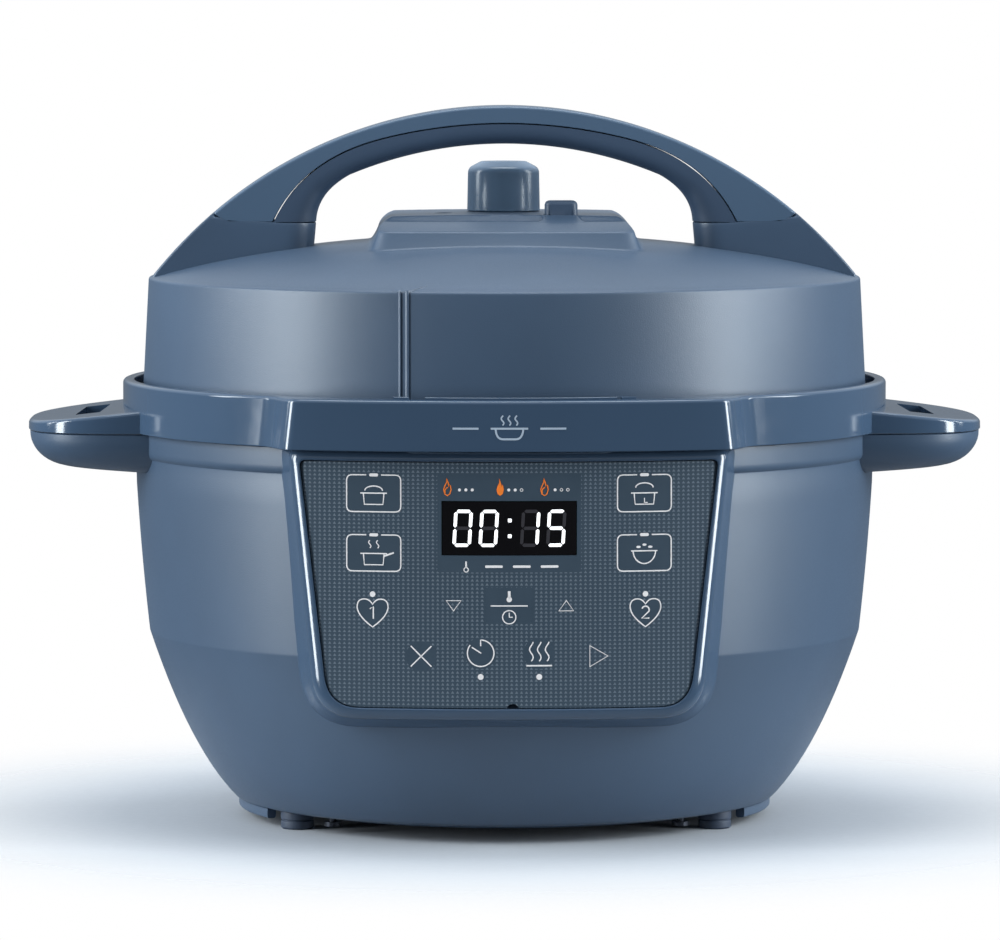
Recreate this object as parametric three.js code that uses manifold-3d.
// Wide electric pressure cooker: a tapering plastic body with a heated steel well, a lift-out pot,
// and a bayonet lid with an arched handle. Millimetres, +Z up, front towards -Y, and the origin is
// on the ground under the centre of the cooker.
import * as THREE from 'three';
import { mergeVertices } from 'three/addons/utils/BufferGeometryUtils.js';
import Module from 'manifold-3d';

const wasm = await Module();
wasm.setup();

// ---------------------------------------------------------------- driving dimensions

const GAP = 0.3; // between pieces that touch
const ROUND = 32; // flats round a large turned piece
const SMALL_ROUND = 16; // flats round a small turned piece

const SHELL_TOP = 165.7;
const SHELL_WALL = 3;
const CREASE = { r: 151.9, z: 79.5 }; // where the side turns in towards the base
const SKIRT_TOP = 8.3;
const SKIRT_R = 115.3;

const RING = { outer: 163, bore: 158, ledge: 150, bottom: 166, top: 187 };
const BROW = { halfWidth: 91, arcR: 300 }; // the flatter front of the ring
const SIDE_HANDLE = { centreX: 148, reachX: 55, reachY: 54, squareness: 3.2, top: 175, bottom: 149.5 };
const STAND_SLOT = { x: 176, width: 10.5, length: 50 };

const PANEL = { y: -157, top: 161.5, bottom: 61.4, halfTop: 85, halfBottom: 73.5 };
const BEZEL_RIM = 4.2; // the frame's width round the panel

const LID = { bottom: 182.5, bottomR: 154.4, rimR: 151.9, rimZ: 229.8, crown: 247.6, wall: 2.5 };
const DECK = { halfX: 49, front: -58, back: 64, top: 257.7, bevel: 11 };
const ARCH = { outerR: 192, partingR: 213.6, innerR: 171.5, top: 303, halfDepth: 15 };
const ARCH_FOOT_Z = 253.8; // where the arch meets the lid's posts

const STEAM_OUTLET = { x: 0, y: 32 };
const BUTTON = { x: 24, y: -9 };
const FLOAT = { x: -26, y: 14 };

const LUG_PITCH = Math.PI / 3; // six bayonet lugs
const LUG_SWEEP = 0.45; // radians covered by one lug or tab

const HEATER_TOP = 48.1; // the pot stands on this
const POT = { r: 132.5, bottom: HEATER_TOP + GAP, rimR: 141, rimTop: 172.2 };
const LINER = { r: 139, floor: 44, flangeTop: 170.4, collarR: 155.5, collarTop: 180.5 };
const SHIELD_TOP = 36; // the heat shield under the heater
const PLATE = { r: 146, top: 184.3, thickness: 2, skirtBottom: 172.7 };

// ---------------------------------------------------------------- finishes

function finish(colour, roughness, metalness = 0) {
  return new THREE.MeshStandardMaterial({ color: colour, roughness, metalness });
}

const MATTE_BLUE = finish(0x5f7086, 0.55);
const GLOSS_BLUE = finish(0x4b5f7c, 0.2);
const SOFT_BLUE = finish(0x33475f, 0.6);
const PANEL_BLUE = finish(0x4e5b6a, 0.35);
const BLACK_GLASS = finish(0x0b0b0d, 0.1);
const BLACK_PLASTIC = finish(0x1c1d1f, 0.5);
const STEEL = finish(0xb9bcc0, 0.3, 1);
const CAST_ALUMINIUM = finish(0x9c9fa3, 0.45, 1);
const BOARD_GREEN = finish(0x1f5a3a, 0.5);
const CLEAR_SILICONE = finish(0xd9dcdc, 0.5);
const RED_SILICONE = finish(0xb23a2e, 0.5);

// ---------------------------------------------------------------- solids

// A closed geometry as a solid that can be cut and joined.
function toSolid(geometry) {
  const bare = geometry.clone();
  bare.deleteAttribute('normal');
  bare.deleteAttribute('uv');
  const merged = mergeVertices(bare, 1e-4);
  const points = merged.attributes.position;
  const faces = [];
  for (let i = 0; i < merged.index.count; i += 3) {
    const corners = [0, 1, 2].map((k) => merged.index.getX(i + k));
    if (new Set(corners).size === 3) {
      faces.push(corners);
    }
  }
  if (signedVolume(points, faces) < 0) {
    faces.forEach((corners) => corners.reverse());
  }
  return new wasm.Manifold(new wasm.Mesh({
    numProp: 3,
    vertProperties: new Float32Array(points.array),
    triVerts: new Uint32Array(faces.flat()),
  }));
}

function signedVolume(points, faces) {
  const [a, b, c] = [new THREE.Vector3(), new THREE.Vector3(), new THREE.Vector3()];
  let total = 0;
  for (const corners of faces) {
    a.fromBufferAttribute(points, corners[0]);
    b.fromBufferAttribute(points, corners[1]);
    c.fromBufferAttribute(points, corners[2]);
    total += a.dot(b.cross(c)) / 6;
  }
  return total;
}

function toMesh(name, solid, material) {
  const result = solid.getMesh();
  const geometry = new THREE.BufferGeometry();
  geometry.setAttribute('position', new THREE.BufferAttribute(result.vertProperties, 3));
  geometry.setIndex(new THREE.BufferAttribute(result.triVerts, 1));
  geometry.computeVertexNormals();
  const mesh = new THREE.Mesh(geometry, material);
  mesh.name = name;
  return mesh;
}

// A closed outline of [radius, height] points turned about the Z axis.
function turned(profile, flats = ROUND) {
  const points = profile.map(([r, z]) => new THREE.Vector2(r, z));
  if (points[0].x > 0 || points.at(-1).x > 0) {
    points.push(points[0].clone());
  }
  return toSolid(new THREE.LatheGeometry(points, flats).rotateX(Math.PI / 2));
}

function tube(outer, inner, bottom, top, flats = ROUND) {
  return turned([[inner, bottom], [outer, bottom], [outer, top], [inner, top]], flats);
}

function rod(r, bottom, top, x = 0, y = 0, flats = SMALL_ROUND) {
  const geometry = new THREE.CylinderGeometry(r, r, top - bottom, flats);
  geometry.rotateX(Math.PI / 2).translate(x, y, (top + bottom) / 2);
  return toSolid(geometry);
}

function block(sizeX, sizeY, sizeZ, x, y, z) {
  return toSolid(new THREE.BoxGeometry(sizeX, sizeY, sizeZ).translate(x, y, z));
}

// A plan outline raised from one height to another.
function raised(shape, bottom, top, curveSegments = 8) {
  const settings = { depth: top - bottom, bevelEnabled: false, curveSegments };
  return toSolid(new THREE.ExtrudeGeometry(shape, settings).translate(0, 0, bottom));
}

// A front elevation outline, drawn as x and height, carried from the front face back.
function carriedBack(shape, front, back, curveSegments = 12) {
  const settings = { depth: back - front, bevelEnabled: false, curveSegments };
  const geometry = new THREE.ExtrudeGeometry(shape, settings);
  return toSolid(geometry.rotateX(Math.PI / 2).translate(0, back, 0));
}

function roundedRectangle(halfX, halfY, radius) {
  const shape = new THREE.Shape();
  shape.absarc(halfX - radius, halfY - radius, radius, 0, Math.PI / 2);
  shape.absarc(-halfX + radius, halfY - radius, radius, Math.PI / 2, Math.PI);
  shape.absarc(-halfX + radius, -halfY + radius, radius, Math.PI, 1.5 * Math.PI);
  shape.absarc(halfX - radius, -halfY + radius, radius, 1.5 * Math.PI, 2 * Math.PI);
  return shape;
}

// One piece of a flat ring, centred on an angle measured from +X.
function ringSector(inner, outer, centreAngle, sweep, bottom, top) {
  const shape = new THREE.Shape();
  shape.absarc(0, 0, outer, centreAngle - sweep / 2, centreAngle + sweep / 2, false);
  shape.absarc(0, 0, inner, centreAngle + sweep / 2, centreAngle - sweep / 2, true);
  return raised(shape, bottom, top, 3);
}

function union(solids) {
  return solids.reduce((whole, solid) => whole.add(solid));
}

function cut(solid, tools) {
  return tools.reduce((rest, tool) => rest.subtract(tool), solid);
}

// ---------------------------------------------------------------- body shell and base

// The body's side: a round underside that meets an almost upright wall at the crease.
function shellSide(offset = 0) {
  const side = new THREE.Path();
  side.moveTo(SKIRT_R - offset, SKIRT_TOP);
  side.quadraticCurveTo(134.9 - offset, 27.9, CREASE.r - offset, CREASE.z);
  side.quadraticCurveTo(156.5 - offset, 120, 158.5 - offset, SHELL_TOP);
  return side.getPoints(3).map((point) => [point.x, point.y]);
}

const FOOT_PLACES = [[-88, -58], [88, -58], [-88, 58], [88, 58]];
const SCREW_ANGLES = [45, 135, 225, 315].map(THREE.MathUtils.degToRad);
const BASE_SCREW_R = 103;

function outerShell() {
  const outside = shellSide();
  const inside = shellSide(SHELL_WALL).reverse();
  const filled = turned([[0, SKIRT_TOP], ...outside, [0, SHELL_TOP]]);
  let shell = turned([...outside, ...inside]);
  for (const angle of SCREW_ANGLES) {
    const boss = ringSector(98, 122, angle, 0.12, 12, 28);
    shell = shell.add(boss.intersect(filled));
    shell = shell.subtract(rod(1.8, 5, 26, ...onCircle(BASE_SCREW_R, angle)));
  }
  const window = carriedBack(panelOutline(BEZEL_RIM + GAP), -170, -100);
  return cut(shell, [window, inletBlock(GAP)]);
}

function onCircle(r, angle) {
  return [r * Math.cos(angle), r * Math.sin(angle)];
}

function baseCover() {
  let cover = turned([[0, 5], [108, 5], [110, 3.6], [112.4, 3.6], [114.5, 8], [0, 8]]);
  for (const [x, y] of [[-40, 25], [40, 25], [-40, 75], [40, 75]]) {
    cover = cover.add(rod(4, 7, 12.7, x, y, 12));
  }
  const holes = SCREW_ANGLES.map((angle) => rod(2.2, 0, 12, ...onCircle(BASE_SCREW_R, angle), 12));
  const feet = FOOT_PLACES.map(([x, y]) => rod(7.4, 0, 12, x, y));
  const vents = [-36, -18, 0, 18, 36].map((x) => block(6, 34, 12, x, -30, 6));
  return cut(cover, [...holes, ...feet, ...vents]);
}

function foot(name, x, y) {
  const pad = rod(7, 0, 4.6, 0, 0).add(rod(5, 4, 8.2, 0, 0));
  const mesh = toMesh(name, pad, BLACK_PLASTIC);
  mesh.position.set(x, y, 0);
  return mesh;
}

function screw(name, x, y, bottom, length, headR = 3.6) {
  const body = rod(headR, 0, 1.8, 0, 0, 16).add(rod(1.5, 1.5, length, 0, 0, 12));
  const driveSlot = block(headR * 1.4, 1, 1.2, 0, 0, 0.3);
  const mesh = toMesh(name, body.subtract(driveSlot), STEEL);
  mesh.position.set(x, y, bottom);
  return mesh;
}

// ---------------------------------------------------------------- top ring and side handles

// Half an oval whose end is squarer than an ellipse.
function sideHandlePlan(inset = 0) {
  const { reachX, reachY, squareness } = SIDE_HANDLE;
  const steps = 26;
  const points = [];
  for (let k = 0; k <= steps; k += 1) {
    const angle = -Math.PI / 2 + (Math.PI * k) / steps;
    const along = Math.max(Math.cos(angle), 0) ** (2 / squareness);
    const across = Math.abs(Math.sin(angle)) ** (2 / squareness) * Math.sign(angle);
    points.push(new THREE.Vector2((reachX - inset) * along, (reachY - inset) * across));
  }
  return new THREE.Shape(points);
}

// A handle half that reaches out towards +X, or towards -X when side is -1.
function sideHandleHalf(side, bottom, top, inset) {
  const settings = { depth: top - bottom, bevelEnabled: false, curveSegments: 16 };
  const geometry = new THREE.ExtrudeGeometry(sideHandlePlan(inset), settings);
  geometry.translate(SIDE_HANDLE.centreX, 0, bottom);
  if (side < 0) {
    geometry.rotateZ(Math.PI);
  }
  return toSolid(geometry);
}

function browPlan() {
  const arcCentreY = -RING.outer + BROW.arcR;
  const halfAngle = Math.asin(BROW.halfWidth / BROW.arcR);
  const shape = new THREE.Shape();
  shape.absarc(0, arcCentreY, BROW.arcR, -Math.PI / 2 - halfAngle, -Math.PI / 2 + halfAngle, false);
  shape.lineTo(BROW.halfWidth, -110);
  shape.lineTo(-BROW.halfWidth, -110);
  return shape;
}

function topRing() {
  const { outer, bore, ledge, bottom, top } = RING;
  let ring = turned([[ledge, bottom], [outer, bottom], [outer, top], [ledge, top]]);
  ring = ring.add(raised(browPlan(), bottom, top, 8));
  for (const side of [-1, 1]) {
    ring = ring.add(sideHandleHalf(side, bottom, SIDE_HANDLE.top, 0));
    const slot = block(STAND_SLOT.width, STAND_SLOT.length, 40, side * STAND_SLOT.x, 0, 170);
    ring = ring.subtract(slot);
  }
  const well = turned([[0, 168.5], [bore, 168.5], [bore, 200], [0, 200]]);
  const mouth = turned([[0, 100], [ledge, 100], [ledge, 200], [0, 200]]);
  return cut(ring, [well, mouth]);
}

function sideGrip(name, side) {
  const { bottom } = SIDE_HANDLE;
  let grip = sideHandleHalf(side, bottom, RING.bottom - GAP, 0.6);
  const chamfer = sideHandleHalf(side, bottom - 1, bottom + 5, 0.6);
  grip = grip.subtract(chamfer).add(sideHandleHalf(side, bottom, bottom + 5, 6));
  const bodyRoom = turned([[0, 100], [157.2, 100], [159.2, 170], [0, 170]]);
  const slot = block(STAND_SLOT.width, STAND_SLOT.length, 14, side * STAND_SLOT.x, 0, 161);
  return toMesh(name, cut(grip, [bodyRoom, slot]), MATTE_BLUE);
}

// ---------------------------------------------------------------- front panel

// The panel's front outline, grown outwards by an offset. It narrows towards the base.
function panelOutline(offset = 0) {
  const top = PANEL.top + offset;
  const bottom = PANEL.bottom - offset;
  const halfTop = PANEL.halfTop + offset;
  const halfBottom = PANEL.halfBottom + offset;
  const cornerR = 14 + offset;
  const shape = new THREE.Shape();
  shape.moveTo(-halfTop, top);
  shape.lineTo(-halfBottom - 1.5, bottom + cornerR);
  shape.quadraticCurveTo(-halfBottom, bottom, -halfBottom + cornerR, bottom);
  shape.lineTo(halfBottom - cornerR, bottom);
  shape.quadraticCurveTo(halfBottom, bottom, halfBottom + 1.5, bottom + cornerR);
  shape.lineTo(halfTop, top);
  return shape;
}

// A gently bowed slab that follows the brow's curve, between two depths behind the panel's face.
function bowedSlab(nearDepth, farDepth) {
  const centreY = PANEL.y + BROW.arcR;
  const halfAngle = Math.asin(100 / BROW.arcR);
  const shape = new THREE.Shape();
  const [near, far] = [BROW.arcR - nearDepth, BROW.arcR - farDepth];
  shape.absarc(0, centreY, near, -Math.PI / 2 - halfAngle, -Math.PI / 2 + halfAngle, false);
  shape.absarc(0, centreY, far, -Math.PI / 2 + halfAngle, -Math.PI / 2 - halfAngle, true);
  return raised(shape, 40, SHELL_TOP, 8);
}

// The frame stands out of the round body and runs back to the inside of its wall.
function frontBezel() {
  const inside = [[0, SKIRT_TOP], ...shellSide(SHELL_WALL), [0, SHELL_TOP]];
  const frame = bowedSlab(-1.2, 32).intersect(carriedBack(panelOutline(BEZEL_RIM), -170, -100));
  const pocket = bowedSlab(-5, 2.6).intersect(carriedBack(panelOutline(0.2), -170, -100));
  const back = bowedSlab(2, 40).intersect(carriedBack(panelOutline(-3), -170, -100));
  return cut(frame, [pocket, back, turned(inside)]);
}

const DISPLAY = { halfX: 27.2, bottom: 124, top: 145.6 };

function displayOutline(offset) {
  const shape = new THREE.Shape();
  shape.moveTo(-DISPLAY.halfX - offset, DISPLAY.bottom - offset);
  shape.lineTo(DISPLAY.halfX + offset, DISPLAY.bottom - offset);
  shape.lineTo(DISPLAY.halfX + offset, DISPLAY.top + offset);
  shape.lineTo(-DISPLAY.halfX - offset, DISPLAY.top + offset);
  return shape;
}

function controlPanel() {
  const sheet = bowedSlab(0, 2.2).intersect(carriedBack(panelOutline(0), -170, -100));
  return sheet.subtract(carriedBack(displayOutline(GAP), -170, -100));
}

function displayWindow() {
  return bowedSlab(0.1, 3.5).intersect(carriedBack(displayOutline(0), -170, -100));
}

function controlBoard() {
  const board = block(116, 1.6, 88, 0, -147, 110);
  const digits = block(50, 4.4, 17, 0, -149.8, 134.8);
  const chip = block(14, 2, 14, 20, -145.6, 90);
  return union([board, digits, chip]);
}

// ---------------------------------------------------------------- well, heater and electrics

function cookerLiner() {
  const { r, floor, flangeTop, collarR, collarTop } = LINER;
  const wall = 1.5;
  let liner = turned([
    [101, floor], [r - 13, floor], [r - 3, floor + 12], [r, floor + 22],
    [r, flangeTop - wall], [collarR, flangeTop - wall], [collarR, collarTop],
    [collarR - 2.3, collarTop], [collarR - 2.3, flangeTop], [r - wall, flangeTop],
    [r - wall, floor + 22.4], [r - 4.4, floor + 12.8], [r - 13.6, floor + wall], [101, floor + wall],
  ]);
  for (let k = 0; k < 6; k += 1) {
    const angle = k * LUG_PITCH;
    liner = liner.add(ringSector(148, collarR - 1, angle, LUG_SWEEP, collarTop - 3.4, collarTop));
  }
  return liner;
}

function heatingPlate() {
  const bottom = HEATER_TOP - 10;
  const plate = turned([
    [12.5, bottom], [98, bottom], [98, HEATER_TOP - 2], [95, HEATER_TOP], [12.5, HEATER_TOP],
  ]);
  const ears = [0, 1, 2].map((k) => {
    const angle = Math.PI / 6 + (k * 2 * Math.PI) / 3;
    return ringSector(94, 112, angle, 0.16, bottom, bottom + 5);
  });
  return union([plate, ...ears]);
}

function heatShield() {
  const bottom = SHIELD_TOP - 1.2;
  const lip = SHIELD_TOP + 2;
  return turned([
    [5.8, bottom], [108, bottom], [108, lip], [106.8, lip], [106.8, SHIELD_TOP], [5.8, SHIELD_TOP],
  ]);
}

function tempSensor() {
  return union([rod(11, HEATER_TOP - 6, HEATER_TOP, 0, 0, 24), rod(5, 31, 43, 0, 0)]);
}

// A coil of round wire wound as a helix that stands on a given height.
function coilSpring(meanR, wireR, bottom, height, turns) {
  class Helix extends THREE.Curve {
    getPoint(t, target = new THREE.Vector3()) {
      const angle = t * turns * 2 * Math.PI;
      const z = bottom + wireR + t * (height - 2 * wireR);
      return target.set(meanR * Math.cos(angle), meanR * Math.sin(angle), z);
    }
  }
  const section = new THREE.Shape();
  section.absarc(0, 0, wireR, 0, 2 * Math.PI);
  const settings = { steps: Math.round(turns * 8), extrudePath: new Helix(), curveSegments: 3 };
  return toSolid(new THREE.ExtrudeGeometry(section, settings));
}

function powerBoard() {
  const board = block(100, 72, 1.6, 0, 50, 13.8);
  const transformer = block(26, 24, 9, -28, 60, 19);
  const relay = block(18, 14, 8, 10, 68, 18.4);
  const capacitors = [28, 38].map((x) => rod(4, 14, 23, x, 40, 12));
  return union([board, transformer, relay, ...capacitors]);
}

const INLET = { halfX: 17, bottom: 16, top: 39, front: 112, back: 137.5 };

function inletBlock(offset) {
  const { halfX, bottom, top, front, back } = INLET;
  const sizes = [2 * (halfX + offset), back - front + 2 * offset, top - bottom + 2 * offset];
  return block(...sizes, 0, (front + back) / 2, (top + bottom) / 2);
}

function powerInlet() {
  const middle = (INLET.top + INLET.bottom) / 2;
  const socket = block(25, 20, 15, 0, INLET.back - 7, middle);
  const pins = [-7, 0, 7].map((x) => block(2, 17, 4, x, INLET.back - 9.5, middle));
  return union([inletBlock(0).subtract(socket), ...pins]);
}

// ---------------------------------------------------------------- pot and sealing ring

function innerPot() {
  const { r, bottom, rimR, rimTop } = POT;
  const wall = 1.5;
  return turned([
    [0, bottom], [r - 16, bottom], [r - 4.5, bottom + 6], [r, bottom + 18], [r, rimTop - wall],
    [rimR, rimTop - wall], [rimR, rimTop], [r - wall, rimTop], [r - wall, bottom + 18.6],
    [r - 5.6, bottom + 7.2], [r - 16.6, bottom + wall], [0, bottom + wall],
  ]);
}

function sealingRing() {
  return turned([
    [128, 172.6], [139.5, 172.6], [139.5, 175], [134, 175.6], [134, 178], [139.5, 178.8],
    [139.5, 182], [128, 182],
  ]);
}

// ---------------------------------------------------------------- lid

function lidOutside() {
  const path = new THREE.Path();
  path.moveTo(LID.bottomR, LID.bottom);
  path.lineTo(LID.rimR, LID.rimZ - 2);
  path.quadraticCurveTo(LID.rimR - 0.1, LID.rimZ, LID.rimR - 2.4, LID.rimZ + 0.6);
  path.quadraticCurveTo(90, LID.crown + 0.4, 0, LID.crown);
  return path.getPoints(3).map((point) => [point.x, point.y]);
}

function lidInside() {
  const path = new THREE.Path();
  path.moveTo(LID.bottomR - LID.wall, LID.bottom);
  path.lineTo(LID.rimR - LID.wall, LID.rimZ - 5);
  path.quadraticCurveTo(90, LID.crown + 0.4 - LID.wall, 0, LID.crown - LID.wall);
  return path.getPoints(3).map((point) => [point.x, point.y]);
}

// The handle posts rise out of the lid's shoulders up to the arch.
function handlePosts() {
  const outerCentreZ = ARCH.top - ARCH.outerR;
  const footAngle = Math.acos(152.6 / ARCH.outerR);
  const shoulderAngle = Math.asin((ARCH_FOOT_Z - outerCentreZ) / ARCH.outerR);
  const shape = new THREE.Shape();
  shape.moveTo(80.5, 238);
  shape.lineTo(147, 222);
  shape.absarc(0, outerCentreZ, ARCH.outerR, footAngle, shoulderAngle, false);
  shape.lineTo(80.5, ARCH_FOOT_Z - GAP);
  const right = carriedBack(shape, -ARCH.halfDepth, ARCH.halfDepth, 6);
  return [right, right.mirror([1, 0, 0])];
}

const PLATE_SCREW_ANGLES = [90, 210, 330].map(THREE.MathUtils.degToRad);
const PLATE_SCREW_R = 102;
const HANDLE_SCREW_X = 108;

function lidCover() {
  const outside = lidOutside();
  const inside = lidInside();
  const hollow = turned([[0, LID.bottom - 1], [LID.bottomR - LID.wall, LID.bottom - 1], ...inside]);
  const filled = turned([[0, LID.bottom], ...outside]);
  let cover = turned([...outside, ...inside.reverse()]);
  for (const post of handlePosts()) {
    cover = cover.add(post.subtract(hollow));
  }
  for (const angle of PLATE_SCREW_ANGLES) {
    const boss = rod(5, PLATE.top + GAP, 250, ...onCircle(PLATE_SCREW_R, angle), 12);
    cover = cover.add(boss.intersect(filled));
    cover = cover.subtract(rod(1.8, 180, 199, ...onCircle(PLATE_SCREW_R, angle), 12));
  }
  const screwHoles = [-1, 1].map((side) => rod(1.8, 220, 260, side * HANDLE_SCREW_X, 0, 12));
  const valveHoles = [
    rod(5, 230, 260, STEAM_OUTLET.x, STEAM_OUTLET.y),
    rod(2.4, 230, 260, BUTTON.x, BUTTON.y, 16),
    rod(3.6, 230, 260, FLOAT.x, FLOAT.y, 16),
  ];
  return cut(cover, [...screwHoles, ...valveHoles]);
}

function valveDeck() {
  const { halfX, front, back, top, bevel } = DECK;
  const settings = { depth: 20, bevelThickness: 9, bevelSize: bevel, bevelSegments: 3, curveSegments: 3 };
  const plan = roundedRectangle(halfX, (back - front) / 2 - 1, 6);
  const geometry = new THREE.ExtrudeGeometry(plan, settings);
  geometry.translate(0, (front + back) / 2, top - 9 - 20);
  const domeTop = lidOutside().slice(1).map(([r, z]) => [r, z + GAP]);
  const dome = turned([[0, 200], [LID.rimR, 200], ...domeTop]);
  const frontSlope = new THREE.BoxGeometry(140, 60, 20);
  frontSlope.rotateX(THREE.MathUtils.degToRad(7)).translate(0, -52, top + 6.1);
  const holes = [
    rod(6.2, 230, 270, STEAM_OUTLET.x, STEAM_OUTLET.y),
    rod(4, 230, 270, FLOAT.x, FLOAT.y, 16),
    buttonWell(),
  ];
  return cut(toSolid(geometry), [dome, toSolid(frontSlope), ...holes]);
}

const BUTTON_SIZE = { halfX: 7, halfY: 4.5, radius: 3.2 };

function buttonWell() {
  const { halfX, halfY, radius } = BUTTON_SIZE;
  const plan = roundedRectangle(halfX + 0.5, halfY + 0.5, radius + 0.5);
  return raised(plan, 230, 270, 5).translate([BUTTON.x, BUTTON.y, 0]);
}

// The outer curve of the parting line between the handle's cover and its grip.
function partingCurve(path, offset) {
  const centreZ = ARCH.top - 7.3 - ARCH.partingR;
  const r = ARCH.partingR - offset;
  const halfAngle = Math.asin(52 / ARCH.partingR);
  const shoulder = { x: 86.2 - offset, z: 280.7 - offset };
  const foot = { x: 98.7 - offset, z: ARCH_FOOT_Z };
  path.lineTo(-foot.x, foot.z);
  const start = [-r * Math.sin(halfAngle), centreZ + r * Math.cos(halfAngle)];
  path.quadraticCurveTo(-shoulder.x, shoulder.z, ...start);
  path.absarc(0, centreZ, r, Math.PI / 2 + halfAngle, Math.PI / 2 - halfAngle, true);
  path.quadraticCurveTo(shoulder.x, shoulder.z, foot.x, foot.z);
}

function handleCover() {
  const outerCentreZ = ARCH.top - ARCH.outerR;
  const shoulderAngle = Math.asin((ARCH_FOOT_Z - outerCentreZ) / ARCH.outerR);
  const shape = new THREE.Shape();
  shape.absarc(0, outerCentreZ, ARCH.outerR, shoulderAngle, Math.PI - shoulderAngle, false);
  partingCurve(shape, 0);
  const cover = carriedBack(shape, -ARCH.halfDepth, ARCH.halfDepth, 12);
  const screwHoles = [-1, 1].map((side) => rod(1.8, 250, 263, side * HANDLE_SCREW_X, 0, 12));
  return cut(cover, screwHoles);
}

function handleGrip() {
  const innerCentreZ = ARCH.top - 16.2 - ARCH.innerR;
  const halfAngle = Math.asin(66 / ARCH.innerR);
  const innerFoot = [80.4, 257];
  const innerShoulder = [80, 267.6];
  const shape = new THREE.Shape();
  shape.moveTo(80.4, ARCH_FOOT_Z);
  shape.lineTo(...innerFoot);
  const start = [66, innerCentreZ + ARCH.innerR * Math.cos(halfAngle)];
  shape.quadraticCurveTo(...innerShoulder, ...start);
  shape.absarc(0, innerCentreZ, ARCH.innerR, Math.PI / 2 - halfAngle, Math.PI / 2 + halfAngle, false);
  shape.quadraticCurveTo(-innerShoulder[0], innerShoulder[1], -innerFoot[0], innerFoot[1]);
  shape.lineTo(-80.4, ARCH_FOOT_Z);
  partingCurve(shape, GAP);
  return carriedBack(shape, -ARCH.halfDepth + 1, ARCH.halfDepth - 1, 12);
}

function lidInnerPlate() {
  const { r, top, thickness, skirtBottom } = PLATE;
  const under = top - thickness;
  let plate = turned([
    [0, under], [r - 2, under], [r - 2, skirtBottom], [r, skirtBottom], [r, top], [0, top],
  ]);
  for (let k = 0; k < 6; k += 1) {
    const lug = ringSector(r - 1, 151.3, k * LUG_PITCH, LUG_SWEEP, skirtBottom, skirtBottom + 3.5);
    plate = plate.add(lug);
  }
  const holes = PLATE_SCREW_ANGLES.map((angle) => {
    return rod(2.2, 170, 190, ...onCircle(PLATE_SCREW_R, angle), 12);
  });
  const pipeHole = rod(4.5, 170, 190, STEAM_OUTLET.x, STEAM_OUTLET.y);
  const floatHole = rod(3.5, 170, 190, FLOAT.x, FLOAT.y, 16);
  return cut(plate, [...holes, pipeHole, floatHole]);
}

function sealingRingRack() {
  return tube(126.8, 125, 172.8, 182);
}

function ventPipe() {
  const pipe = union([rod(4.1, 176, 262, 0, 0), rod(7, 177, 181.8, 0, 0)]);
  return pipe.subtract(rod(2.2, 170, 270, 0, 0, 16));
}

function antiBlockShield() {
  let shield = turned([
    [7.6, 181.9], [14, 181.9], [14, 171.5], [0, 171.5],
    [0, 173], [12.6, 173], [12.6, 180.5], [7.6, 180.5],
  ], SMALL_ROUND);
  for (let k = 0; k < 6; k += 1) {
    const [x, y] = onCircle(14, (k * Math.PI) / 3);
    shield = shield.subtract(rod(2.2, 174.5, 179, x, y, 12));
  }
  return shield;
}

function steamValve() {
  const weight = turned([
    [4.6, 258.6], [8.5, 258.6], [8.5, 270], [6, 272], [0, 272], [0, 262.6], [4.6, 262.6],
  ], SMALL_ROUND);
  return weight;
}

function steamCap() {
  const outside = [[15.6, 258.1], [14.9, 273.6], [13.6, 275.6], [11.9, 277.4], [11, 278.4], [0, 278.4]];
  const inside = [[0, 276.2], [12, 274], [13, 258.1]];
  const cap = turned([...outside, ...inside], 20);
  const vents = [0, 1, 2].map((k) => {
    const angle = Math.PI / 2 + (k - 1) * 0.6;
    return rod(2, 262, 270, ...onCircle(14, angle), 12);
  });
  return cut(cap, vents);
}

function quickReleaseButton() {
  const { halfX, halfY, radius } = BUTTON_SIZE;
  const settings = { depth: 8.4, bevelThickness: 1, bevelSize: 1, bevelSegments: 1, curveSegments: 3 };
  const plan = roundedRectangle(halfX - 1, halfY - 1, radius - 1);
  const cap = toSolid(new THREE.ExtrudeGeometry(plan, settings).translate(0, 0, 253.4));
  const springRoom = rod(3.7, 250, 260.6, 0, 0, 20);
  return cap.subtract(springRoom).add(rod(1.7, 240, 261.5, 0, 0, 16));
}

function floatValve() {
  return union([rod(3.1, 246, 257.4, 0, 0, 16), rod(2.3, 176.5, 247, 0, 0, 16)]);
}

// ---------------------------------------------------------------- assembly

const cooker = new THREE.Group();

const base = new THREE.Group();
base.add(toMesh('outer_shell', outerShell(), MATTE_BLUE));
base.add(toMesh('base_cover', baseCover(), MATTE_BLUE));
base.add(toMesh('top_ring', topRing(), GLOSS_BLUE));
base.add(sideGrip('left_handle_grip', -1));
base.add(sideGrip('right_handle_grip', 1));
base.add(toMesh('front_bezel', frontBezel(), GLOSS_BLUE));
base.add(toMesh('control_panel', controlPanel(), PANEL_BLUE));
base.add(toMesh('display_window', displayWindow(), BLACK_GLASS));
base.add(toMesh('control_board', controlBoard(), BOARD_GREEN));
base.add(toMesh('cooker_liner', cookerLiner(), STEEL));
base.add(toMesh('heating_plate', heatingPlate(), CAST_ALUMINIUM));
base.add(toMesh('heat_shield', heatShield(), STEEL));
base.add(toMesh('temp_sensor', tempSensor(), CAST_ALUMINIUM));
base.add(toMesh('sensor_spring', coilSpring(7.6, 0.5, SHIELD_TOP + 0.2, 5.7, 2.5), STEEL));
base.add(toMesh('power_board', powerBoard(), BOARD_GREEN));
base.add(toMesh('power_inlet', powerInlet(), BLACK_PLASTIC));
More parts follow.
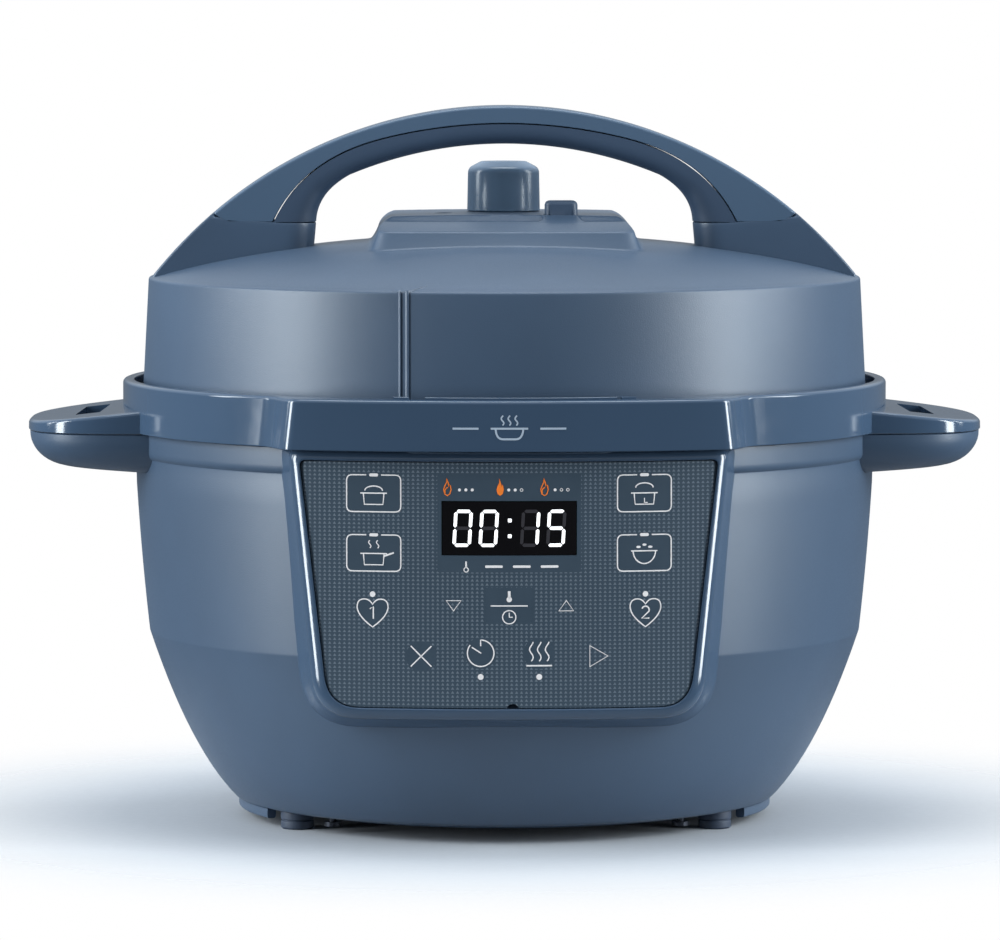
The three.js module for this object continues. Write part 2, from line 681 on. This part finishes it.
base.add(toMesh('thermal_fuse', block(24, 8, 5.5, 30, -66, SHIELD_TOP - 4.3), CAST_ALUMINIUM));
base.add(toMesh('pressure_switch', block(20, 20, 12, -34, -62, SHIELD_TOP - 7.6), BLACK_PLASTIC));
const footNames = ['foot_front_left', 'foot_front_right', 'foot_back_left', 'foot_back_right'];
FOOT_PLACES.forEach(([x, y], k) => base.add(foot(footNames[k], x, y)));
SCREW_ANGLES.forEach((angle, k) => {
  base.add(screw(`base_screw_${k + 1}`, ...onCircle(BASE_SCREW_R, angle), 2.9, 20));
});
cooker.add(base);

const pot = new THREE.Group();
pot.add(toMesh('inner_pot', innerPot(), STEEL));
pot.add(toMesh('sealing_ring', sealingRing(), CLEAR_SILICONE));
cooker.add(pot);

const lid = new THREE.Group();
lid.add(toMesh('lid_cover', lidCover(), MATTE_BLUE));
lid.add(toMesh('valve_deck', valveDeck(), MATTE_BLUE));
lid.add(toMesh('handle_cover', handleCover(), GLOSS_BLUE));
lid.add(toMesh('handle_grip', handleGrip(), SOFT_BLUE));
lid.add(toMesh('lid_inner_plate', lidInnerPlate(), STEEL));
lid.add(toMesh('sealing_ring_rack', sealingRingRack(), STEEL));
PLATE_SCREW_ANGLES.forEach((angle, k) => {
  lid.add(screw(`plate_screw_${k + 1}`, ...onCircle(PLATE_SCREW_R, angle), 180.2, 17));
});
[-1, 1].forEach((side, k) => {
  lid.add(screw(`handle_screw_${k + 1}`, side * HANDLE_SCREW_X, 0, 231, 30));
});
cooker.add(lid);

const steamOutlet = new THREE.Group();
steamOutlet.position.set(STEAM_OUTLET.x, STEAM_OUTLET.y, 0);
steamOutlet.add(toMesh('vent_pipe', ventPipe(), STEEL));
steamOutlet.add(toMesh('anti_block_shield', antiBlockShield(), STEEL));
steamOutlet.add(toMesh('steam_valve', steamValve(), STEEL));
steamOutlet.add(toMesh('steam_cap', steamCap(), GLOSS_BLUE));
lid.add(steamOutlet);

const quickRelease = new THREE.Group();
quickRelease.position.set(BUTTON.x, BUTTON.y, 0);
quickRelease.add(toMesh('quick_release_button', quickReleaseButton(), SOFT_BLUE));
quickRelease.add(toMesh('quick_release_spring', coilSpring(2.9, 0.4, 248.4, 11.8, 4), STEEL));
lid.add(quickRelease);

const floatPin = new THREE.Group();
floatPin.position.set(FLOAT.x, FLOAT.y, 0);
floatPin.add(toMesh('float_valve', floatValve(), STEEL));
floatPin.add(toMesh('float_valve_cap', rod(5.5, 172.6, 176.2, 0, 0), RED_SILICONE));
lid.add(floatPin);

export default cooker;
